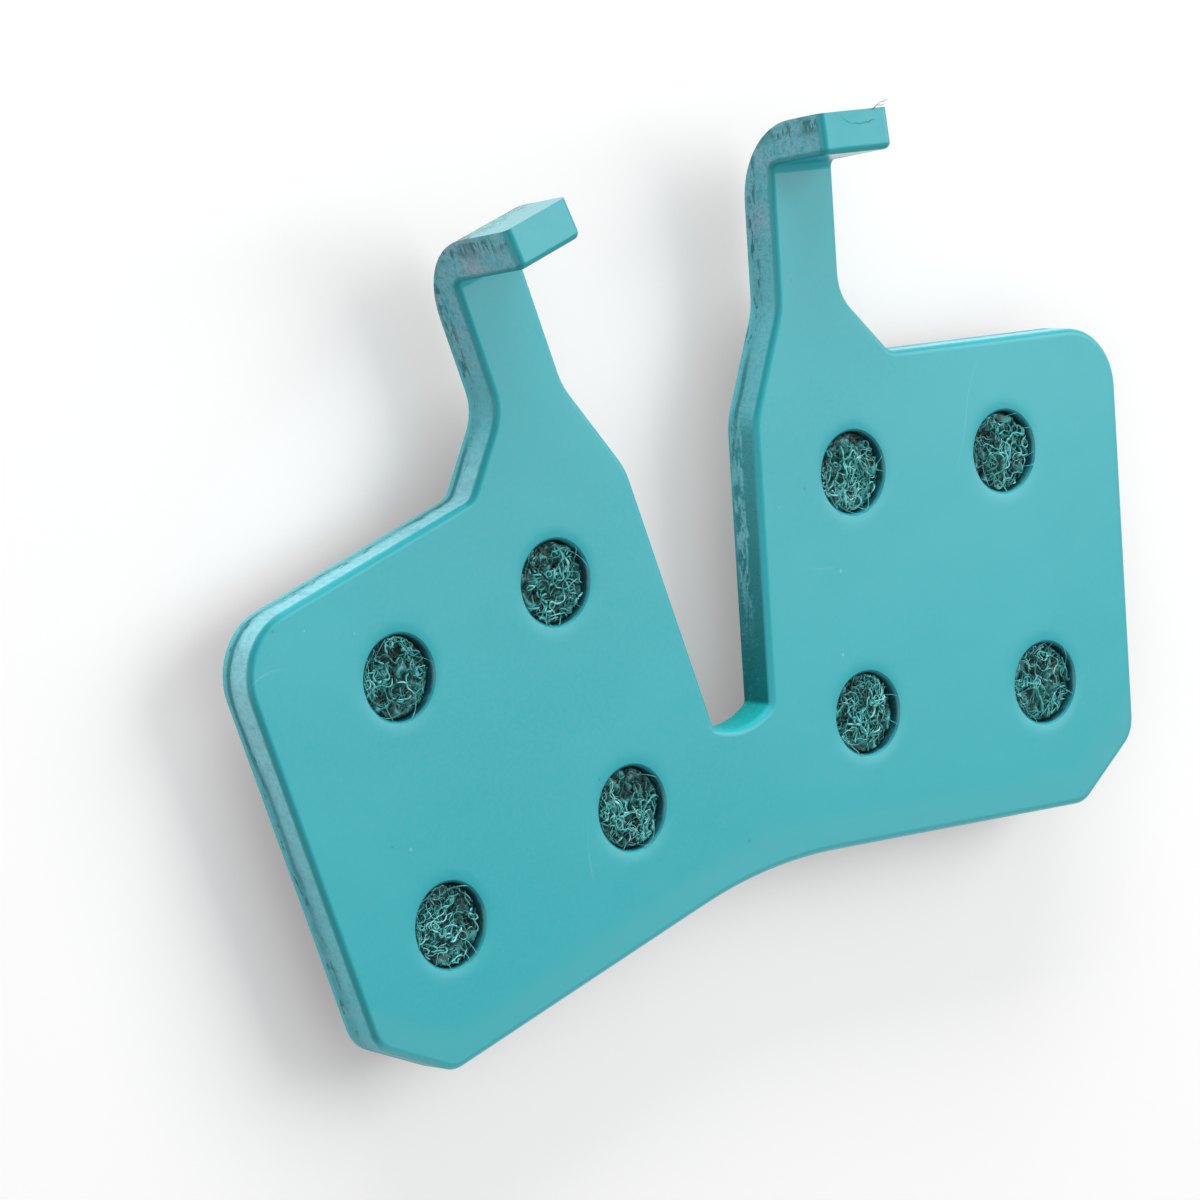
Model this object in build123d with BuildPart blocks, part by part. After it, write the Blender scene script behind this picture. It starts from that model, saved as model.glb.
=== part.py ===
from build123d import *
import os
from math import cos, radians, sin, tan

# A bicycle disc brake pad: a stamped two-lobed plate with bent ears, a bonding coat on its inner face, and a
# moulded friction block under each lobe. It lies on its friction faces, with the painted back up.
# X runs across both lobes, Y towards the ears, Z up from the friction faces.
# Each lobe has its own frame, turned by lobe_fan: u runs outwards along its top edge, w along its neck.
# Both lobe frames start at the middle of the pad, level with the middle of its holes.

# Thicknesses, from the friction face up
friction_thickness = 2.1
coat_thickness = 0.12
plate_thickness = 1.8

# Outline of a lobe
lobe_fan = 9.5
slot_edge = 2.05
side_edge = 23.95
top_edge = 12.55
bottom_edge = -9.0
top_corner_radius = 2.8
chamfer_run = 3.3
chamfer_rise = 2.8
chamfer_upper_radius = 1.6
chamfer_lower_radius = 1.2
middle_radius = 24.0

# Slot between the lobes, with a shallow round floor
slot_floor = -2.13
slot_floor_sag = 0.48
slot_corner_radius = 0.3

# Neck and ear
neck_inner_edge = 3.8
neck_width = 3.7
flare_start = 10.2
flare_end = 14.9
flare_radius = 3.0
gusset_foot = 10.3
gusset_rise = 2.75
gusset_foot_radius = 0.8
gusset_neck_radius = 2.2
crease = 21.16
crease_radius = 0.4
bend_radius = 3.6
bend_run = 0.2
ear_lean = 7.0
right_ear_inner_height = 3.55
right_ear_outer_height = 4.0
left_ear_inner_height = 4.53
left_ear_outer_height = 4.7
ear_corner_radius = 0.35

# Holes, in the frame of their lobe
hole_radius = 1.8
upper_row = 7.45
upper_row_inner = 7.6
upper_row_outer = 16.74
lower_row = -3.22
lower_row_inner = 7.64
lower_row_outer = 18.47

# The punch rolls the edges of the back and of the ears' insides over, and the holes have a small bevel
edge_roll = 0.3
hole_bevel = 0.12

# Friction blocks, with a plug in each hole
block_slot_margin = 2.95
block_top_margin = 2.6
block_bottom_margin = 1.2
block_side = 19.95
block_upper_radius = 1.0
block_side_radius = 2.8
block_slot_radius = 1.5
block_edge_bevel = 0.25
plug_fit = 0.02
plug_recess = 0.55

# Bonding coat
coat_margin = 0.2

# Levels and directions that follow
plate_bottom = friction_thickness + coat_thickness
plate_top = plate_bottom + plate_thickness
fan_cos = cos(radians(lobe_fan))
fan_sin = sin(radians(lobe_fan))
across_lobe = Vector(fan_cos, -fan_sin, 0)
along_neck = Vector(fan_sin, fan_cos, 0)
upwards = Vector(0, 0, 1)
neck_outer_edge = neck_inner_edge + neck_width

# The flat blank ends a little before the start of the wider of the two bend curves
lean_cos = cos(radians(ear_lean))
lean_sin = sin(radians(ear_lean))
half_turn = tan(radians(90 - ear_lean) / 2)
bend_corner = plate_thickness * (1 - lean_sin) / lean_cos
bend_reach = max(crease_radius * half_turn, bend_radius * half_turn - bend_corner) + bend_run
neck_top = crease - bend_reach


def right_lobe(level):
    return Plane(origin=(0, 0, level), x_dir=across_lobe, z_dir=(0, 0, 1))


def from_lobe(u, w):
    return (u * fan_cos + w * fan_sin, w * fan_cos - u * fan_sin)


def mirrored(point):
    return (-point[0], point[1])


holes = [
    (upper_row_inner, upper_row),
    (upper_row_outer, upper_row),
    (lower_row_inner, lower_row),
    (lower_row_outer, lower_row),
]
right_holes = [from_lobe(u, w) for u, w in holes]
all_holes = right_holes + [mirrored(point) for point in right_holes]

# Flat blank: from the slot round the right lobe, through the middle of the lower edge, and back on the left
right_corners = [
    (from_lobe(slot_edge, flare_start), flare_radius),
    (from_lobe(neck_inner_edge, flare_end), flare_radius),
    (from_lobe(neck_inner_edge, neck_top), 0),
    (from_lobe(neck_outer_edge, neck_top), 0),
    (from_lobe(neck_outer_edge, top_edge + gusset_rise), gusset_neck_radius),
    (from_lobe(gusset_foot, top_edge), gusset_foot_radius),
    (from_lobe(side_edge, top_edge), top_corner_radius),
    (from_lobe(side_edge, bottom_edge + chamfer_rise), chamfer_upper_radius),
    (from_lobe(side_edge - chamfer_run, bottom_edge), chamfer_lower_radius),
]
middle_corner = ((0, bottom_edge / fan_cos), middle_radius)
left_corners = [(mirrored(point), radius) for point, radius in reversed(right_corners)]
corners = right_corners + [middle_corner] + left_corners
slot_right = from_lobe(slot_edge, slot_floor)
slot_left = mirrored(slot_right)
slot_deepest = (0, slot_right[1] - slot_floor_sag)

with BuildSketch() as blank:
    with BuildLine():
        outline = [slot_right] + [point for point, radius in corners] + [slot_left]
        FilletPolyline(*outline, radius=[radius for point, radius in corners])
        ThreePointArc(slot_left, slot_deepest, slot_right)
    make_face()
    fillet(blank.vertices().sort_by_distance(slot_right)[0], slot_corner_radius)
    fillet(blank.vertices().sort_by_distance(slot_left)[0], slot_corner_radius)

# Ear: the sheet in section across the bend, rising from the back and leaning away from it
crease_section = Plane(
    origin=(*from_lobe(neck_inner_edge, crease), plate_top),
    x_dir=along_neck,
    z_dir=across_lobe,
)
ear_up = along_neck * lean_sin + upwards * lean_cos
ear_outwards = along_neck * lean_cos - upwards * lean_sin
same_place = 0.001


def on_inside(edge):
    place = crease_section.to_local_coords(edge.center())
    past_ear = place.X * lean_cos - place.Y * lean_sin
    return place.Y > -same_place and past_ear < same_place


def on_a_side(edge):
    return abs(edge.tangent_at(0.5).dot(across_lobe)) < same_place


def on_rim(edge):
    past_bend = crease_section.to_local_coords(edge.center()).Y > crease_radius
    return on_inside(edge) and (past_bend or on_a_side(edge))


def ear(inner_height, outer_height):
    inner_length = inner_height / lean_cos
    outer_length = outer_height / lean_cos
    longest = max(inner_length, outer_length)
    tip_plane = Plane(
        origin=crease_section.origin + ear_up * inner_length,
        x_dir=ear_outwards,
        z_dir=ear_up - across_lobe * ((outer_length - inner_length) / neck_width),
    )
    tip_inside = Vector(lean_sin, lean_cos) * longest
    tip_outside = tip_inside + Vector(lean_cos, -lean_sin) * plate_thickness
    section = [
        ((-bend_reach, 0), 0),
        ((0, 0), crease_radius),
        (tip_inside, 0),
        (tip_outside, 0),
        ((bend_corner, -plate_thickness), bend_radius),
        ((-bend_reach, -plate_thickness), 0),
    ]
    with BuildPart() as bent_ear:
        with BuildSketch(crease_section):
            with BuildLine():
                points = [point for point, radius in section]
                FilletPolyline(*points, radius=[radius for point, radius in section], close=True)
            make_face()
        extrude(amount=neck_width)
        split(bisect_by=tip_plane, keep=Keep.BOTTOM)
        tip = bent_ear.faces().sort_by(Axis.Z)[-1]
        fillet(tip.edges().filter_by(on_a_side), ear_corner_radius)
        fillet(bent_ear.edges().filter_by(on_rim), edge_roll)
    return bent_ear.part


right_ear = ear(right_ear_inner_height, right_ear_outer_height)
left_ear = ear(left_ear_inner_height, left_ear_outer_height)

with BuildPart() as backing_plate:
    with BuildSketch(Plane.XY.offset(plate_bottom)):
        add(blank.sketch_local)
    extrude(amount=plate_thickness)
    back = backing_plate.faces().sort_by(Axis.Z)[-1]
    neck_ends = back.edges().sort_by(Axis.Y)[-2:]
    fillet(back.edges() - neck_ends, edge_roll)
    add(right_ear)
    mirror(left_ear, about=Plane.YZ)
    with Locations(*[(x, y, plate_top) for x, y in all_holes]):
        Hole(hole_radius)
    back = backing_plate.faces().filter_by(Axis.Z).sort_by(SortBy.AREA)[-2:].sort_by(Axis.Z)[-1]
    hole_mouths = back.edges().filter_by(lambda edge: edge.is_closed)
    chamfer(hole_mouths, hole_bevel)

with BuildPart() as bonding_coat:
    with BuildSketch(Plane.XY.offset(friction_thickness)):
        offset(blank.sketch_local, amount=-coat_margin)
        with Locations(*all_holes):
            Circle(hole_radius, mode=Mode.SUBTRACT)
    extrude(amount=coat_thickness)

# Friction block: its outer side is square to the pad, not to the lobe
block_slot_side = slot_edge + block_slot_margin
block_top = top_edge - block_top_margin
block_bottom = bottom_edge + block_bottom_margin
block_corners = [
    ((block_slot_side, block_top), block_upper_radius),
    (((block_side - block_top * fan_sin) / fan_cos, block_top), block_upper_radius),
    (((block_side - block_bottom * fan_sin) / fan_cos, block_bottom), block_side_radius),
    ((block_slot_side, block_bottom), block_slot_radius),
]

with BuildPart() as friction_block_right:
    with BuildSketch(right_lobe(0)):
        with BuildLine():
            block_outline = [point for point, radius in block_corners]
            FilletPolyline(*block_outline, radius=[radius for point, radius in block_corners], close=True)
        make_face()
    extrude(amount=friction_thickness)
    chamfer(friction_block_right.faces().sort_by(Axis.Z)[0].edges(), block_edge_bevel)
    with BuildSketch(right_lobe(friction_thickness)):
        with Locations(*holes):
            Circle(hole_radius - plug_fit)
    extrude(amount=coat_thickness + plate_thickness - plug_recess)

with BuildPart() as friction_block_left:
    mirror(friction_block_right.part, about=Plane.YZ)

# The origin is under the middle of the pad, level with its friction faces
to_middle = Location((0, -backing_plate.part.bounding_box().center().Y, 0))
pieces = {
    "backing_plate": backing_plate,
    "bonding_coat": bonding_coat,
    "friction_block_left": friction_block_left,
    "friction_block_right": friction_block_right,
}

os.makedirs("parts", exist_ok=True)
for name, piece in pieces.items():
    placed = piece.part.moved(to_middle)
    placed.label = name
    export_step(placed, f"parts/{name}.step")
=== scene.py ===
import math
import random

import bpy
from mathutils import Matrix, Vector, noise


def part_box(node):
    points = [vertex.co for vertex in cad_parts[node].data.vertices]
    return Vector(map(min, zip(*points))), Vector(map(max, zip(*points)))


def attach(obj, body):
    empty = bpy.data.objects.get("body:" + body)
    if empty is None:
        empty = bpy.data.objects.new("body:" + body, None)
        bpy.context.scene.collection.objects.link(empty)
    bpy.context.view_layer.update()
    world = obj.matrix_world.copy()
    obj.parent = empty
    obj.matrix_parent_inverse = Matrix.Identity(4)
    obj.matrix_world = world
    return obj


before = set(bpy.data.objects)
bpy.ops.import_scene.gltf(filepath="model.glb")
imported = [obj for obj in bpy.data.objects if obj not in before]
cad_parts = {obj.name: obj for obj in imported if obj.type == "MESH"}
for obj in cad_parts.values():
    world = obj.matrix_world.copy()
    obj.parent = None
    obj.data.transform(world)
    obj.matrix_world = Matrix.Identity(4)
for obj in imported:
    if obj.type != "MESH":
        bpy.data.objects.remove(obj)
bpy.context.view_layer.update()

MM = 0.001

# Levels and places of the solids, in metres. Each lobe's own frame starts level with the middle of its holes.
PLATE_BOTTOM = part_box("backing_plate")[0].z
PLATE_THICKNESS = 1.8 * MM
PLATE_TOP = PLATE_BOTTOM + PLATE_THICKNESS
LOBE_FAN = math.radians(9.5)
HOLES_LEVEL = -5.149 * MM
NECK_START = 17.0 * MM
NECK_INNER_EDGE = 3.8 * MM
NECK_WIDTH = 3.7 * MM
BEND_START = 18.6 * MM
SLOT_FLOOR = -3.2 * MM
SIDE_EDGE = 23.95 * MM
BOTTOM_EDGE = -9.0 * MM
CHAMFER_RUN = 3.3 * MM
CHAMFER_RISE = 2.8 * MM
CREASE = 21.16 * MM
EAR_LEAN = math.radians(7)
RIGHT_EAR_INNER_HEIGHT = 3.55 * MM
RIGHT_EAR_OUTER_HEIGHT = 4.0 * MM
HOLE_RADIUS = 1.8 * MM
DISH_WIDTH = 0.85 * MM
CRUST_RADIUS = HOLE_RADIUS * 0.985
STRAND_REACH = HOLE_RADIUS * 0.965
BLOCK_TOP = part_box("bonding_coat")[0].z
UP = Vector((0, 0, 1))

# The camera stands where the photographer stood, seen from the pad lying flat
CAMERA_PLACE = Vector((-169.728, 55.979, 209.866)) * MM
CAMERA_RIGHT = Vector((0.74394, -0.18807, 0.64123))
CAMERA_UP = Vector((0.27878, 0.95943, -0.04203))
CAMERA_LENS = 189.93
CAMERA_SENSOR = 36.0

# Colours, linear
TEAL = (0.020, 0.40, 0.455, 1)
TEAL_PALE = (0.032, 0.43, 0.485, 1)
TEAL_MOTTLE_AND_SHEEN = (0.055, 0.415, 0.465, 1)
TEAL_SPECKLE_AND_SHADE = (0.012, 0.23, 0.26, 1)
TEAL_DEEP = (0.012, 0.15, 0.17, 1)
BURNISHED = (0.10, 0.50, 0.57, 1)
GRANULAR = (0.07, 0.40, 0.465, 1)
LAVENDER = (0.18, 0.44, 0.55, 1)
WALL_SCRAPE_AND_SHEEN = (0.25, 0.63, 0.70, 1)
RIM_PALE_AND_SHEEN = (0.09, 0.50, 0.55, 1)
SLOT_WALL = (0.11, 0.43, 0.49, 1)
SLOT_SHADE = (0.003, 0.18, 0.195, 1)
SLOT_END = (0.012, 0.42, 0.43, 1)
EAR_TEAL = (0.075, 0.40, 0.47, 1)
EAR_GREY = (0.16, 0.40, 0.48, 1)
EAR_ROSE = (0.27, 0.36, 0.45, 1)
SCUFF_PALE = (0.22, 0.46, 0.46, 1)
SCUFF_GREY = (0.12, 0.32, 0.32, 1)
SCUFF_BROWN = (0.05, 0.045, 0.04, 1)
SPECK_LIGHT = (0.30, 0.66, 0.70, 1)
SPECK_DARK = (0.012, 0.16, 0.19, 1)
COAT_BROWN = (0.022, 0.018, 0.016, 1)
COAT_BLACK = (0.008, 0.0075, 0.007, 1)
HOLE_DARK = (0.008, 0.075, 0.095, 1)
FIBRE_DARK = (0.010, 0.018, 0.015, 1)
FIBRE_OLIVE = (0.09, 0.085, 0.055, 1)
FIBRE_BROWN = (0.06, 0.04, 0.03, 1)
SPRAY_DEEP = (0.006, 0.075, 0.075, 1)
SPRAY_TEAL = (0.085, 0.55, 0.54, 1)
SPRAY_HIGHLIGHT = (0.30, 0.74, 0.72, 1)
RESIN_DARK = (0.026, 0.023, 0.019, 1)
RESIN_BROWN = (0.075, 0.066, 0.054, 1)
GRAIN_CREAM = (0.42, 0.36, 0.27, 1)
FLOOR_GREY = (0.76, 0.76, 0.76, 1)
WHITE = (1, 1, 1, 1)


class Shader:
    """A material's node tree, with short ways to add and join nodes."""

    # Where a Mix node keeps its sockets when it mixes colours
    MIX_FACTOR = 0
    MIX_FIRST = 6
    MIX_SECOND = 7
    MIX_RESULT = 2

    def __init__(self, name):
        self.material = bpy.data.materials.new(name)
        self.material.use_nodes = True
        self.tree = self.material.node_tree
        self.tree.nodes.clear()
        self.place = self.node("TexCoord").outputs["Object"]

    def node(self, kind, inputs=None, **settings):
        made = self.tree.nodes.new("ShaderNode" + kind)
        for name, value in settings.items():
            setattr(made, name, value)
        for key, value in (inputs or {}).items():
            self.feed(made.inputs[key], value)
        return made

    def feed(self, socket, value):
        if isinstance(value, bpy.types.NodeSocket):
            self.tree.links.new(value, socket)
        else:
            socket.default_value = value

    def math(self, operation, first, second=0.0):
        return self.node("Math", {0: first, 1: second}, operation=operation).outputs[0]

    def times(self, *values):
        product = values[0]
        for value in values[1:]:
            product = self.math("MULTIPLY", product, value)
        return product

    def without(self, share):
        """What a share leaves over of the whole."""
        return self.math("SUBTRACT", 1.0, share)

    def step(self, value, low, high):
        inputs = {"Value": value, "From Min": low, "From Max": high}
        return self.node("MapRange", inputs, interpolation_type="SMOOTHSTEP").outputs[0]

    def mix(self, factor, first, second):
        inputs = {self.MIX_FACTOR: factor, self.MIX_FIRST: first, self.MIX_SECOND: second}
        return self.node("Mix", inputs, data_type="RGBA").outputs[self.MIX_RESULT]

    def attribute(self, name):
        return self.node("Attribute", attribute_name=name).outputs["Fac"]

    def noise(self, scale, detail=3.0, roughness=0.55, vector=None):
        inputs = {
            "Vector": vector or self.place,
            "Scale": scale,
            "Detail": detail,
            "Roughness": roughness,
        }
        return self.node("TexNoise", inputs).outputs["Fac"]

    def streaks(self, scale, roughness):
        """Noise with a scale of its own along each axis."""
        stretched = self.node("Mapping", {"Vector": self.place, "Scale": scale}).outputs[0]
        return self.noise(1.0, 4, roughness, stretched)

    def waver(self, scale, detail, width, roughness=0.55):
        """Noise about zero, which stays within half the width of it."""
        centred = self.math("SUBTRACT", self.noise(scale, detail, roughness), 0.5)
        return self.times(centred, width)

    def veins(self, scale, detail):
        """Noise folded at its middle, so that it is zero along thin wandering lines."""
        return self.math("ABSOLUTE", self.math("SUBTRACT", self.noise(scale, detail), 0.5))

    def warped(self, scale, push):
        """The place, pushed about by noise, so that what is drawn there loses its round shape."""
        way = self.node("TexNoise", {"Vector": self.place, "Scale": scale, "Detail": 3.0}).outputs["Color"]
        inputs = {0: way, 1: (push, push, push), 2: self.place}
        return self.node("VectorMath", inputs, operation="MULTIPLY_ADD").outputs[0]

    def cells(self, scale, feature="F1", output="Distance", vector=None):
        inputs = {"Vector": vector or self.place, "Scale": scale}
        return self.node("TexVoronoi", inputs, feature=feature).outputs[output]

    def specks(self, scale, size, rare, vector=None):
        """Small spots in the few cells whose random share is above rare."""
        spot = self.step(self.cells(scale, vector=vector), size, size * 0.4)
        cell = self.cells(scale, output="Color", vector=vector)
        share = self.node("SeparateColor", {0: cell}).outputs[0]
        return self.times(spot, self.step(share, rare, rare + 0.01))

    def folded(self):
        """The place in plan, with the left lobe laid over the right one."""
        parts = self.node("SeparateXYZ", {0: self.place})
        inputs = {0: self.math("ABSOLUTE", parts.outputs[0]), 1: parts.outputs[1]}
        return self.node("CombineXYZ", inputs).outputs[0]

    def inside(self, point, inwards):
        """How far in the place lies from a straight edge through a point of the right lobe."""
        inputs = {0: self.folded(), 1: point}
        from_point = self.node("VectorMath", inputs, operation="SUBTRACT").outputs[0]
        inputs = {0: from_point, 1: inwards}
        return self.node("VectorMath", inputs, operation="DOT_PRODUCT").outputs["Value"]

    def nearest(self, centres):
        """The distance from the nearest of some upright axes, which the other lobe mirrors."""
        folded = self.folded()
        found = None
        for centre in centres:
            inputs = {0: folded, 1: (centre.x, centre.y, 0)}
            away = self.node("VectorMath", inputs, operation="DISTANCE").outputs["Value"]
            found = self.math("MINIMUM", found, away) if found else away
        return found

    def bump(self, height, distance, normal=None):
        inputs = {"Height": height, "Distance": distance}
        if normal:
            inputs["Normal"] = normal
        return self.node("Bump", inputs).outputs[0]

    def surface(self, **inputs):
        named = {name.replace("_", " "): value for name, value in inputs.items()}
        principled = self.node("BsdfPrincipled", named)
        output = self.node("OutputMaterial")
        self.tree.links.new(principled.outputs[0], output.inputs["Surface"])
        return self.material


def across(side):
    """The direction across a lobe, outwards. side is 1 on the right and -1 on the left."""
    return Vector((side * math.cos(LOBE_FAN), -math.sin(LOBE_FAN), 0))


def along(side):
    """The direction along a lobe's neck, towards its ear."""
    return Vector((side * math.sin(LOBE_FAN), math.cos(LOBE_FAN), 0))


def share_of(value, low, high):
    """How far a value has come from low, where the share is 0, to high, where it is 1."""
    return min(max((value - low) / (high - low), 0), 1)


def tilt_from_sheet(normal, side, up_neck):
    """How far a surface is turned from the sheet's own face, in degrees. A punched wall is at 90."""
    if up_neck > NECK_START:
        return math.degrees(math.asin(min(abs(normal.dot(across(side))), 1)))
    return math.degrees(math.acos(min(abs(normal.z), 1)))


def roll_marks(normal, tilt, up_neck, beside, low):
    """Shares of the rolled edge: where it turns from the light and is painted in shade, and where it runs
    along the lower edge and gets a painted highlight.
    """
    level_length = max(math.hypot(normal.x, normal.y), 0.001)
    below_holes = share_of(up_neck, -5.3 * MM, -5.8 * MM)
    front = share_of(-normal.y / level_length, 0.3, 0.7) * below_holes
    faces_left = share_of(-normal.x, 0, 0.3)
    faces_ears = share_of(normal.y, 0, 0.4)
    unlit = max(faces_left, 0.4 * faces_ears) * (1 - front)
    roll_start = 15 if beside else 4
    roll_full = roll_start + 30
    rolled = share_of(tilt, roll_start, roll_full) * share_of(tilt, 88, 70)
    return {"shaded_roll": rolled * unlit * (1 - low), "lit_front_roll": rolled * front}


def corner_marks(place, normal):
    """What a corner of the plate belongs to, as shares from 0 to 1, by its place and the way it faces."""
    side = 1 if place.x > 0 else -1
    outwards = place.dot(across(side))
    up_neck = place.dot(along(side))
    tilt = tilt_from_sheet(normal, side, up_neck)
    upper_half = share_of(up_neck, -4 * MM, 4 * MM)

    # The walls beside the slot, as far as the bends, and the walls low in it, which are painted dark as shade
    near_slot = outwards < NECK_INNER_EDGE + NECK_WIDTH + 0.3 * MM
    beside = near_slot and SLOT_FLOOR < up_neck < BEND_START
    in_slot = beside and outwards < NECK_INNER_EDGE
    low = share_of(up_neck, 10.8 * MM, 8.5 * MM) if in_slot else 0.0
    slot_shade = low * share_of(tilt, 40, 70)

    # The ears: how far through the sheet a corner lies, and whether it is on the stretched side of the bend
    lean_cos = math.cos(EAR_LEAN)
    lean_sin = math.sin(EAR_LEAN)
    past_ear = (up_neck - CREASE) * lean_cos - place.z * lean_sin
    faces_away = normal.dot(along(side)) * lean_cos - normal.z * lean_sin
    stretched = share_of(faces_away, 0.2, 0.8) * share_of(place.z, 2.8 * MM, 0.2 * MM)

    return {
        "cut": share_of(tilt, 62, 85),
        "depth": share_of(max(-place.z, past_ear), 0, PLATE_THICKNESS),
        "slot_side": 1.0 if beside else 0.0,
        "slot_shade": slot_shade,
        "slot_end": slot_shade * share_of(normal.y, 0.3, 0.7),
        "scraped": low * share_of(up_neck, 2 * MM, 5 * MM),
        "outer_side": share_of(outwards, 20.5 * MM, 22.5 * MM) * upper_half,
        # The upper outer walls, which get a painted highlight
        "sheen_wall": share_of(outwards, 8 * MM, 9 * MM) * upper_half,
        "inner": share_of(-normal.z, 0.1, 0.9),
        "ear": share_of(up_neck, BEND_START - 0.8 * MM, BEND_START + 0.4 * MM),
        "raised": share_of(place.z, 0.3 * MM, 1.6 * MM),
        "scuffed": stretched if up_neck > BEND_START else 0.0,
        **roll_marks(normal, tilt, up_neck, beside, low),
    }


def mark_plate(plate):
    """Stores the marks of each corner of the plate, which its paint reads."""
    mesh = plate.data
    start = Vector((0, HOLES_LEVEL, PLATE_TOP))
    marks = []
    for corner in mesh.loops:
        place = mesh.vertices[corner.vertex_index].co - start
        marks.append(corner_marks(place, mesh.corner_normals[corner.index].vector))
    for name in marks[0]:
        stored = mesh.attributes.new(name, "FLOAT", "CORNER")
        stored.data.foreach_set("value", [mark[name] for mark in marks])


def lit_lower_edge(made):
    """A share that grows towards a lobe's lower edge and chamfer, where the punch drew the sheet down, and
    which lightens the paint there as a painted highlight.
    """
    foot = Vector((0, HOLES_LEVEL, 0)) + across(1) * (SIDE_EDGE - CHAMFER_RUN) + along(1) * BOTTOM_EDGE
    chamfer_inwards = (along(1) * CHAMFER_RUN - across(1) * CHAMFER_RISE).normalized()
    distance = made.math("MINIMUM", made.inside(foot, along(1)), made.inside(foot, chamfer_inwards))
    distance = made.math("ADD", distance, made.waver(170, 2, 1.1 * MM))
    return made.times(made.step(distance, 2.3 * MM, 0.8 * MM), 0.9)


def sprayed_face(made):
    """The colour of the open paint, with dust specks and pits, painted shade on raised ears and on rolled
    edges that turn from the light, and a painted highlight along the lower edges.
    """
    colour = made.mix(made.step(made.noise(90), 0.3, 0.7), TEAL, TEAL_PALE)
    mottle = made.times(made.step(made.noise(4200, 3, 0.6), 0.35, 0.65), 0.4)
    # Fine mottle, and a painted highlight that lightens the paint towards the lower edge and chamfer
    colour = made.mix(made.math("MAXIMUM", mottle, lit_lower_edge(made)), colour, TEAL_MOTTLE_AND_SHEEN)
    colour = made.mix(made.times(made.specks(430, 0.045, 0.4), 0.4), colour, SPECK_LIGHT)
    colour = made.mix(made.times(made.specks(510, 0.05, 0.4), 0.45), colour, SPECK_DARK)
    broken = made.step(made.noise(150, 2), 0.58, 0.68)
    scratch = made.times(made.step(made.veins(46, 2), 0.002, 0.0008), broken, 0.16)
    colour = made.mix(scratch, colour, SPECK_LIGHT)
    # Painted shade: raised ears are darkened
    colour = made.mix(made.times(made.attribute("raised"), 0.25), colour, TEAL_SPECKLE_AND_SHADE)
    # Painted highlight on the rolled lower edge
    colour = made.mix(made.attribute("lit_front_roll"), colour, RIM_PALE_AND_SHEEN)
    # Painted shade on rolled edges that turn from the light
    return made.mix(made.times(made.attribute("shaded_roll"), 0.75), colour, TEAL_SPECKLE_AND_SHADE)


def ear_side(made, depth):
    """The sides of the ears and bends: grey and teal streaks, rose blotches and dark smudges."""
    streaks = made.step(made.streaks((800, 800, 3300), 0.65), 0.38, 0.64)
    colour = made.mix(streaks, EAR_GREY, EAR_TEAL)
    blotches = made.step(made.noise(480, 4), 0.46, 0.68)
    colour = made.mix(made.times(blotches, 0.8), colour, EAR_ROSE)
    smudges = made.times(made.step(made.noise(560, 2), 0.52, 0.62), made.step(depth, 0.35, 0.75))
    return made.mix(made.times(smudges, 0.7), colour, TEAL_DEEP)


def shaded_slot_wall(made, depth):
    """The walls low in the slot, painted dark as shade but teal where they face the ears, dusty towards their
    far edge and scraped along a strip.
    """
    colour = made.mix(made.attribute("slot_end"), SLOT_SHADE, SLOT_END)
    dust = made.step(made.noise(3200, 3), 0.58, 0.66)
    colour = made.mix(made.times(dust, made.step(depth, 0.3, 0.6), 0.5), colour, RIM_PALE_AND_SHEEN)
    flecks = made.step(made.streaks((2600, 1100, 3400), 0.7), 0.45, 0.53)
    strip = made.math("ADD", depth, made.waver(420, 2, 0.5))
    strip = made.times(made.step(strip, 0.42, 0.52), made.step(strip, 0.96, 0.84))
    scrapes = made.times(flecks, strip, made.step(made.attribute("scraped"), 0.08, 0.28), 0.9)
    return made.mix(scrapes, colour, WALL_SCRAPE_AND_SHEEN)


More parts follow.
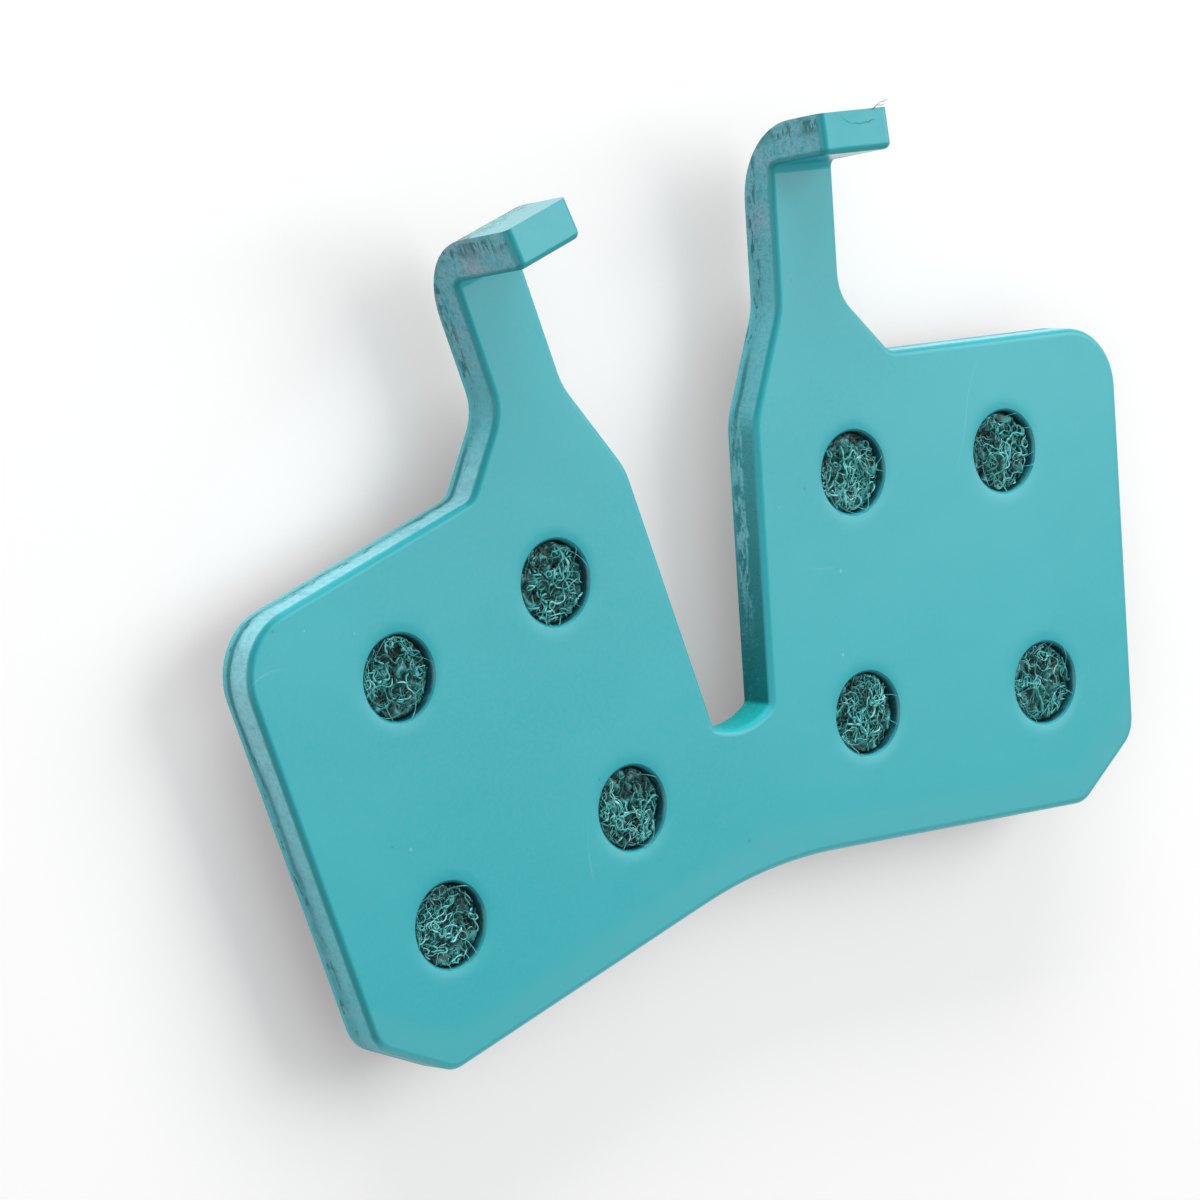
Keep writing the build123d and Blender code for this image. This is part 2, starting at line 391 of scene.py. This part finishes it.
def punched_wall(made, depth, grain):
    """A pale burnished band under the rolled edge, then a torn and chipped one, and a painted burr; the upper
    outer walls get a painted highlight.
    """
    ear = made.attribute("ear")
    slot_shade = made.attribute("slot_shade")
    plain = made.without(made.math("MAXIMUM", ear, slot_shade))
    level = made.math("ADD", depth, made.waver(190, 3, 0.5))
    colour = made.mix(made.step(level, 0.42, 0.64), BURNISHED, GRANULAR)
    # Painted highlight: the upper outer walls are made paler
    pale = made.times(made.attribute("sheen_wall"), made.step(level, 0.8, 0.5))
    colour = made.mix(pale, colour, WALL_SCRAPE_AND_SHEEN)
    streaks = made.step(made.streaks((2600, 2600, 350), 0.6), 0.46, 0.68)
    colour = made.mix(made.times(streaks, 0.5), colour, LAVENDER)
    colour = made.mix(made.times(made.attribute("slot_side"), 0.6), colour, SLOT_WALL)
    colour = made.mix(ear, colour, ear_side(made, depth))
    speckle = made.math("ADD", 0.2, made.times(ear, 0.3))
    colour = made.mix(made.times(made.step(grain, 0.48, 0.6), speckle), colour, TEAL_SPECKLE_AND_SHADE)
    # Painted shade: the walls low in the slot are made dark
    colour = made.mix(slot_shade, colour, shaded_slot_wall(made, depth))

    # The fracture runs along the outer sides and in patches elsewhere, with chips in the torn band
    fracture = made.step(made.math("ABSOLUTE", made.math("SUBTRACT", level, 0.76)), 0.1, 0.04)
    patchy = made.math("MAXIMUM", made.step(made.noise(150, 2), 0.5, 0.6), made.attribute("outer_side"))
    fracture = made.times(fracture, patchy, plain, 0.8)
    torn = made.times(made.step(depth, 0.5, 0.7), made.step(depth, 0.95, 0.86))
    chips = made.math("ADD", made.streaks((1250, 1250, 3600), 0.65), made.times(ear, 0.06))
    chips = made.times(made.step(chips, 0.55, 0.63), torn, made.without(slot_shade))
    colour = made.mix(made.math("MAXIMUM", fracture, chips), colour, TEAL_DEEP)
    burr = made.math("ADD", depth, made.times(made.math("SUBTRACT", grain, 0.5), 0.2))
    return made.mix(made.times(made.step(burr, 0.86, 0.93), plain), colour, RIM_PALE_AND_SHEEN)


def paint_relief(made, from_hole, torn, crazed):
    """Slow waves and orange peel, dished hole mouths, torn walls, crazed bends and uneven ears."""
    normal = made.bump(made.noise(300, 2), 0.02 * MM)
    normal = made.bump(made.noise(2600, 2), 0.0016 * MM, normal)
    outside = made.math("DIVIDE", made.math("SUBTRACT", from_hole, HOLE_RADIUS), DISH_WIDTH)
    slope = made.math("MAXIMUM", made.without(outside), 0.0)
    dish = made.without(made.math("POWER", slope, 3.0))
    normal = made.bump(dish, 0.05 * MM, normal)
    normal = made.bump(torn, 0.08 * MM, normal)
    normal = made.bump(crazed, 0.1 * MM, normal)
    uneven = made.times(made.attribute("raised"), made.noise(620, 1))
    return made.bump(uneven, 0.05 * MM, normal)


def paint_material(hole_centres):
    made = Shader("plate_paint")
    cut = made.attribute("cut")
    depth = made.attribute("depth")
    from_hole = made.nearest(hole_centres)
    grain = made.noise(4300, 4, 0.7)
    ragged = made.waver(1700, 4, 0.34)
    colour = made.mix(cut, sprayed_face(made), punched_wall(made, depth, grain))

    # The outsides of the bends are stretched: the paint there is wrinkled, scuffed and cracked
    wrinkles = made.noise(2400, 5, 0.7)
    broken = made.step(made.noise(500, 2), 0.48, 0.56)
    cracks = made.times(made.step(made.veins(620, 3), 0.02, 0.006), broken)
    worn = made.mix(made.step(wrinkles, 0.4, 0.62), SCUFF_GREY, SCUFF_PALE)
    worn = made.mix(cracks, worn, SCUFF_BROWN)
    bare = made.step(made.math("ADD", made.attribute("scuffed"), made.times(ragged, 2.0)), 0.4, 0.55)
    bare = made.times(bare, made.step(cut, 0.6, 0.3))
    colour = made.mix(bare, colour, worn)

    # The dark coat of the inner side ends raggedly, and in places creeps up the walls beside the slot
    open_wall = made.without(made.attribute("slot_shade"))
    patches = made.step(made.noise(210, 2), 0.55, 0.63)
    creep = made.step(made.math("ADD", depth, ragged), 0.93, 0.97)
    creep = made.times(creep, made.attribute("slot_side"), cut, patches, open_wall)
    under = made.step(made.math("ADD", made.attribute("inner"), ragged), 0.55, 0.62)
    lacquer = made.mix(made.step(made.noise(700, 4), 0.35, 0.7), COAT_BLACK, COAT_BROWN)
    colour = made.mix(made.math("MAXIMUM", creep, under), colour, lacquer)

    # Hole walls are dark, with some spray near the mouth
    bore = made.step(from_hole, HOLE_RADIUS + 0.07 * MM, HOLE_RADIUS + 0.01 * MM)
    spray = made.times(made.step(depth, 0.3, 0.08), made.step(made.noise(1500, 3), 0.45, 0.6))
    colour = made.mix(bore, colour, made.mix(spray, HOLE_DARK, TEAL_DEEP))

    # Walls and bare bends are rougher, raised ears are glossier, and the low walls of the slot are dull
    crazed = made.times(bare, made.math("SUBTRACT", wrinkles, cracks))
    smooth = made.math("SUBTRACT", 0.28, made.times(made.attribute("raised"), 0.1))
    rough = made.times(made.math("MAXIMUM", cut, bare), 0.16)
    return made.surface(
        Base_Color=colour,
        Roughness=made.math("ADD", smooth, rough),
        Specular_IOR_Level=made.times(made.math("ADD", open_wall, 0.3), 0.3),
        Normal=paint_relief(made, from_hole, made.times(cut, grain), crazed),
    )


def coat_material():
    made = Shader("bonding_coat")
    blotches = made.step(made.noise(260, 4), 0.35, 0.7)
    normal = made.bump(made.cells(900, feature="SMOOTH_F1"), 0.16 * MM)
    normal = made.bump(made.step(made.veins(560, 3), 0.0, 0.05), 0.12 * MM, normal)
    normal = made.bump(made.noise(3200, 4), 0.04 * MM, normal)
    return made.surface(
        Base_Color=made.mix(blotches, COAT_BLACK, COAT_BROWN),
        Roughness=0.45,
        Normal=normal,
    )


def friction_material():
    made = Shader("friction_compound")
    clouds = made.step(made.noise(1100, 5, 0.65), 0.35, 0.65)
    colour = made.mix(clouds, RESIN_DARK, RESIN_BROWN)
    ragged = made.warped(2600, 0.9 * MM)
    colour = made.mix(made.times(made.specks(1300, 0.34, 0.86, ragged), 0.8), colour, GRAIN_CREAM)
    colour = made.mix(made.times(made.specks(3600, 0.36, 0.8, ragged), 0.5), colour, GRAIN_CREAM)
    normal = made.bump(made.noise(2400, 5, 0.7), 0.15 * MM)
    return made.surface(Base_Color=colour, Roughness=0.85, Normal=normal)


def fibre_material():
    made = Shader("sprayed_fibre")
    spray = made.attribute("spray")
    dry = made.mix(made.step(made.attribute("shade"), 0.3, 0.9), FIBRE_DARK, FIBRE_OLIVE)
    browned = made.step(made.noise(1300, 3), 0.58, 0.68)
    dry = made.mix(made.times(browned, 0.6), dry, FIBRE_BROWN)
    colour = made.mix(made.step(spray, 0.0, 0.3), dry, SPRAY_DEEP)
    mottled = made.math("ADD", spray, made.waver(2600, 4, 0.9, 0.6))
    colour = made.mix(made.step(mottled, 0.25, 0.85), colour, SPRAY_TEAL)
    # Painted highlight: the highest, most sprayed strands turn palest
    colour = made.mix(made.step(mottled, 0.78, 1.1), colour, SPRAY_HIGHLIGHT)
    normal = made.bump(made.noise(9000, 3), 0.01 * MM)
    return made.surface(Base_Color=colour, Roughness=0.38, Normal=normal)


class Tangle:
    """Thin round strands and lumpy crusts gathered into one mesh, with two colour shares at each point."""

    SIDES = 5
    RINGS = 20
    SPOKES = 64
    END_TAPER = 0.35
    BEAD_SCALE = 5200
    SHADE_SCALE = 4000
    LEAST_SPRAY = 0.12
    SPRAY_PER_MM = 1.7

    def __init__(self):
        self.points = []
        self.faces = []
        self.spray = []
        self.shade = []

    def point(self, place, spray, shade):
        self.points.append(place)
        self.spray.append(min(max(spray, 0), 1))
        self.shade.append(min(max(shade, 0), 1))

    def strand(self, path, radius, spray, shade, beads=0.0):
        """A tube along a path, which swells where the spray has gathered on it."""
        ring_start = len(self.points)
        last = len(path) - 1
        for index, middle in enumerate(path):
            ahead = path[min(index + 1, last)] - path[max(index - 1, 0)]
            out = ahead.orthogonal().normalized()
            other = ahead.normalized().cross(out)
            swell = 1.0 + beads * noise.noise(middle * self.BEAD_SCALE)
            taper = self.END_TAPER if index in (0, last) else swell
            for side in range(self.SIDES):
                angle = math.tau * side / self.SIDES
                offset = out * math.cos(angle) + other * math.sin(angle)
                self.point(middle + offset * radius * taper, spray, shade)
        for index in range(last):
            base = ring_start + index * self.SIDES
            for side in range(self.SIDES):
                beside = (side + 1) % self.SIDES
                ends = (base + side, base + beside)
                self.faces.append((*ends, ends[1] + self.SIDES, ends[0] + self.SIDES))
        self.faces.append(tuple(ring_start + side for side in reversed(range(self.SIDES))))
        end = ring_start + last * self.SIDES
        self.faces.append(tuple(end + side for side in range(self.SIDES)))

    def crust(self, middle, radius, height_at):
        """A lumpy disc of rings of points, raised by height_at and sprayed where they rise."""
        start = len(self.points)
        self.point(middle + Vector((0, 0, height_at(middle))), spray=0.4, shade=0.3)
        for ring in range(1, self.RINGS + 1):
            for spoke in range(self.SPOKES):
                angle = math.tau * spoke / self.SPOKES
                place = middle + Vector((math.cos(angle), math.sin(angle), 0)) * radius * ring / self.RINGS
                height = height_at(place) if ring < self.RINGS else 0.0
                spray = self.LEAST_SPRAY + self.SPRAY_PER_MM * height / MM
                self.point(place + Vector((0, 0, height)), spray, noise.noise(place * self.SHADE_SCALE))
        for spoke in range(self.SPOKES):
            beside = (spoke + 1) % self.SPOKES
            self.faces.append((start, start + 1 + spoke, start + 1 + beside))
            for ring in range(self.RINGS - 1):
                inner = start + 1 + ring * self.SPOKES
                outer = inner + self.SPOKES
                self.faces.append((inner + spoke, outer + spoke, outer + beside, inner + beside))

    def build(self, name, material):
        mesh = bpy.data.meshes.new(name)
        mesh.from_pydata(self.points, [], self.faces)
        for label, values in (("spray", self.spray), ("shade", self.shade)):
            stored = mesh.attributes.new(label, "FLOAT", "POINT")
            stored.data.foreach_set("value", values)
        mesh.polygons.foreach_set("use_smooth", [True] * len(mesh.polygons))
        mesh.materials.append(material)
        made = bpy.data.objects.new(name, mesh)
        bpy.context.scene.collection.objects.link(made)
        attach(made, "root")


def plug_ends(node):
    """The middle of each plug's flat end on a friction block."""
    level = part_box(node)[1].z
    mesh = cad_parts[node].data
    rims = []
    for vertex in mesh.vertices:
        if vertex.co.z < level - 0.01 * MM:
            continue
        for rim in rims:
            if (rim[0] - vertex.co).length < 2.1 * HOLE_RADIUS:
                rim.append(vertex.co.copy())
                break
        else:
            rims.append([vertex.co.copy()])
    ends = []
    for rim in rims:
        low = Vector(map(min, *rim))
        high = Vector(map(max, *rim))
        ends.append((low + high) / 2)
    return ends


def crust_height(place):
    """Lumps on the end of a plug, from its own level up."""
    lump_scale = 2100
    usual = 0.11
    swing = 0.2
    highest = 0.38
    lumps = noise.fractal(place * lump_scale, 0.8, 2.0, 4)
    return min(max(usual + swing * lumps, 0.0), highest) * MM


def stray_path(middle, draw):
    """A fibre that leaves a hole over its rim and ends on the paint, and its radius."""
    angle = draw.uniform(0, math.tau)
    turn = draw.gauss(0, 0.06)
    radius = draw.uniform(0.01, 0.02) * MM
    over = draw.uniform(0.0, 0.16) * MM
    inside = HOLE_RADIUS - draw.uniform(0.3, 0.7) * MM
    start_height = 0.2 * MM
    rim_height = PLATE_TOP - middle.z + radius + 0.01 * MM
    steps = 10
    path = []
    for step in range(steps + 1):
        share = step / steps
        distance = inside + (HOLE_RADIUS + over - inside) * share
        climb = share_of(distance, inside, HOLE_RADIUS - 0.03 * MM)
        height = start_height + (rim_height - start_height) * climb
        angle += turn
        path.append(middle + Vector((distance * math.cos(angle), distance * math.sin(angle), height)))
    return path, radius


def curled_path(middle, start, lift, draw):
    """A strand that wanders over the end of a plug, lower near the wall of the hole, where it turns back."""
    step_length = 0.08 * MM
    turn_back = 1.3
    place = start
    heading = draw.uniform(0, math.tau)
    turn = draw.uniform(-0.4, 0.4)
    rise = draw.uniform(0, math.tau)
    path = []
    for step in range(draw.randint(6, 20)):
        domed = 1 - 0.5 * (place.length / STRAND_REACH) ** 4
        height = (0.06 + 0.4 * lift * domed + 0.05 * math.sin(rise + step * 0.6)) * MM
        path.append(middle + place + Vector((0, 0, height)))
        turn = 0.75 * turn + draw.gauss(0, 0.22)
        heading += turn
        ahead = place + Vector((math.cos(heading), math.sin(heading), 0)) * step_length
        if ahead.length > STRAND_REACH:
            heading += turn_back
            ahead = place * 0.94
        place = ahead
    return path


def plug_tangle(name, middle, seed, material):
    """A crust and sprayed strands that cross and curl over the end of a plug, inside its hole."""
    draw = random.Random(seed)
    tangle = Tangle()
    tangle.crust(middle, CRUST_RADIUS, crust_height)
    sprayed = draw.uniform(0.75, 1.05)
    strand_count = 250
    tuft_scale = 1300
    for _ in range(strand_count):
        angle = draw.uniform(0, math.tau)
        distance = STRAND_REACH * math.sqrt(draw.random())
        start = Vector((math.cos(angle), math.sin(angle), 0)) * distance
        tuft = noise.noise((middle + start) * tuft_scale)
        lift = share_of(tuft + draw.uniform(-0.45, 0.45), -0.5, 0.6)
        path = curled_path(middle, start, lift, draw)
        radius = (0.014 + 0.034 * draw.random() ** 2) * MM
        spray = sprayed * (0.1 + 0.9 * lift + draw.uniform(-0.3, 0.3))
        tangle.strand(path, radius, spray, draw.random(), beads=0.7)
    for _ in range(draw.randint(5, 9)):
        path, radius = stray_path(middle, draw)
        tangle.strand(path, radius, spray=0.75, shade=draw.random(), beads=0.5)
    tangle.build(name, material)


def side_spot(mesh, faces, draw):
    """A random place on one of the faces, and the way it faces."""
    face = draw.choices(faces, [face.area for face in faces])[0]
    first, second, third = [mesh.vertices[index].co for index in face.vertices[:3]]
    near = draw.random()
    far = draw.random()
    if near + far > 1:
        near, far = 1 - near, 1 - far
    return first + (second - first) * near + (third - first) * far, face.normal.copy()


def block_fuzz(name, block, seed, material):
    """Short fibres that lie on the sides of a friction block, sprayed where the side faces the ears."""
    draw = random.Random(seed)
    tangle = Tangle()
    mesh = block.data
    sides = [face for face in mesh.polygons if abs(face.normal.z) < 0.1 and face.center.z < BLOCK_TOP]
    lowest = 0.35 * MM
    highest = BLOCK_TOP - 0.08 * MM
    step_length = 0.1 * MM
    fibre_count = 1100
    for _ in range(fibre_count):
        place, facing = side_spot(mesh, sides, draw)
        level_way = facing.cross(UP)
        heading = draw.uniform(0, math.tau)
        lift = (0.03 + 0.2 * draw.random() ** 2) * MM
        steps = draw.randint(4, 9)
        path = []
        for step in range(steps + 1):
            heading += draw.gauss(0, 0.35)
            place = place + (level_way * math.cos(heading) + UP * math.sin(heading)) * step_length
            place.z = min(max(place.z, lowest), highest)
            path.append(place + facing * lift * math.sin(math.pi * step / steps))
        spray = 0.55 * share_of(facing.y, 0.2, 0.9) * draw.random() + 0.12 * draw.random()
        radius = draw.uniform(0.012, 0.032) * MM
        tangle.strand(path, radius, spray, draw.random(), beads=0.4)
    tangle.build(name, material)


def on_right_tip(outwards, through, above):
    """A place on the end of the right ear: outwards along it, and through the sheet from its inside."""
    rise = (RIGHT_EAR_OUTER_HEIGHT - RIGHT_EAR_INNER_HEIGHT) * outwards / NECK_WIDTH
    height = (RIGHT_EAR_INNER_HEIGHT + rise) / math.cos(EAR_LEAN) + above
    start = Vector((0, HOLES_LEVEL, PLATE_TOP)) + along(1) * CREASE + across(1) * (NECK_INNER_EDGE + outwards)
    ear_up = along(1) * math.sin(EAR_LEAN) + UP * math.cos(EAR_LEAN)
    ear_out = along(1) * math.cos(EAR_LEAN) - UP * math.sin(EAR_LEAN)
    return start + ear_up * height + ear_out * through


def right_ear_marks(material):
    """A wrinkle in the paint on the end of the right ear, and a fibre that clings to its far corner."""
    wrinkles = [
        [(1.15, 1.58), (1.28, 1.43), (1.45, 1.34), (1.62, 1.22), (1.85, 1.24), (1.98, 1.2)],
        [(1.9, 1.25), (2.1, 1.17), (2.32, 1.24), (2.5, 1.2), (2.72, 1.31), (2.9, 1.3)],
    ]
    sunk = -0.006 * MM
    tangle = Tangle()
    for wrinkle in wrinkles:
        path = [on_right_tip(outwards * MM, through * MM, sunk) for outwards, through in wrinkle]
        tangle.strand(path, radius=0.02 * MM, spray=0.42, shade=0.5, beads=0.5)
    tangle.build("ear_paint_wrinkle", material)
    clinging = [
        [(2.75, 1.72, 0.0), (2.95, 1.86, 0.05), (3.2, 2.0, 0.05), (3.42, 2.04, 0.08), (3.6, 2.14, 0.1)],
        [(2.85, 1.74, 0.0), (3.05, 1.9, 0.02), (3.3, 1.88, 0.06), (3.5, 1.93, 0.04)],
    ]
    tangle = Tangle()
    for fibre in clinging:
        path = [on_right_tip(*(value * MM for value in place)) for place in fibre]
        tangle.strand(path, radius=0.014 * MM, spray=0.1, shade=0.8)
    tangle.build("ear_stray_fibre", material)


def add_camera():
    data = bpy.data.cameras.new("camera")
    data.lens = CAMERA_LENS
    data.sensor_width = CAMERA_SENSOR
    data.clip_start = 0.01
    data.clip_end = 10
    camera = bpy.data.objects.new("camera", data)
    right = CAMERA_RIGHT.normalized()
    back = right.cross(CAMERA_UP).normalized()
    up = back.cross(right)
    turn = Matrix((right, up, back)).transposed()
    camera.matrix_world = Matrix.Translation(CAMERA_PLACE) @ turn.to_4x4()
    bpy.context.scene.collection.objects.link(camera)
    bpy.context.scene.camera = camera


def add_softbox(name, place, width, height, power, mirrored=True):
    """A broad lamp that faces the pad. One that is not mirrored leaves no glare on the paint."""
    data = bpy.data.lights.new(name, "AREA")
    data.shape = "RECTANGLE"
    data.size = width
    data.size_y = height
    data.energy = power
    lamp = bpy.data.objects.new(name, data)
    lamp.location = place
    lamp.rotation_mode = "QUATERNION"
    lamp.rotation_quaternion = Vector(place).to_track_quat("Z", "Y")
    lamp.visible_glossy = mirrored
    bpy.context.scene.collection.objects.link(lamp)


def add_floor():
    """A pale floor that glows a little to the eye, in mirrors and through glass, but adds no light."""
    glow = 0.22
    bpy.ops.mesh.primitive_plane_add(size=4)
    floor = bpy.context.object
    floor.name = "floor"
    made = Shader("floor")
    rays = made.node("LightPath").outputs
    seen = made.math("MAXIMUM", rays["Is Camera Ray"], rays["Is Glossy Ray"])
    seen = made.math("MAXIMUM", seen, rays["Is Transmission Ray"])
    made.surface(
        Base_Color=FLOOR_GREY,
        Roughness=0.6,
        Emission_Color=WHITE,
        Emission_Strength=made.times(seen, glow),
    )
    floor.data.materials.append(made.material)


def add_world():
    world = bpy.data.worlds.new("studio")
    world.use_nodes = True
    background = world.node_tree.nodes["Background"]
    background.inputs["Color"].default_value = WHITE
    background.inputs["Strength"].default_value = 0.4
    bpy.context.scene.world = world


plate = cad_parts["backing_plate"]
mark_plate(plate)
plate.data.materials[0] = paint_material(plug_ends("friction_block_right"))
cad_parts["bonding_coat"].data.materials[0] = coat_material()
compound = friction_material()
sprayed_fibre = fibre_material()
seed = 11
for side in ("left", "right"):
    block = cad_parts["friction_block_" + side]
    block.data.materials[0] = compound
    for number, end in enumerate(plug_ends("friction_block_" + side), 1):
        plug_tangle(f"plug_fibres_{side}_{number}", end, seed, sprayed_fibre)
        seed += 1
    block_fuzz(f"side_fibres_{side}", block, seed, sprayed_fibre)
    seed += 1
right_ear_marks(sprayed_fibre)

add_camera()
add_floor()
add_world()
add_softbox("tent_right", (0.36, 0.075, 0.34), width=0.38, height=0.38, power=1.4)
add_softbox("tent_top", (0.05, 0.5, 0.14), width=0.5, height=0.2, power=2.5, mirrored=False)
add_softbox("tent_left", (-0.44, 0.0, 0.22), width=0.4, height=0.4, power=0.55)

bpy.context.scene.view_settings.view_transform = "Standard"
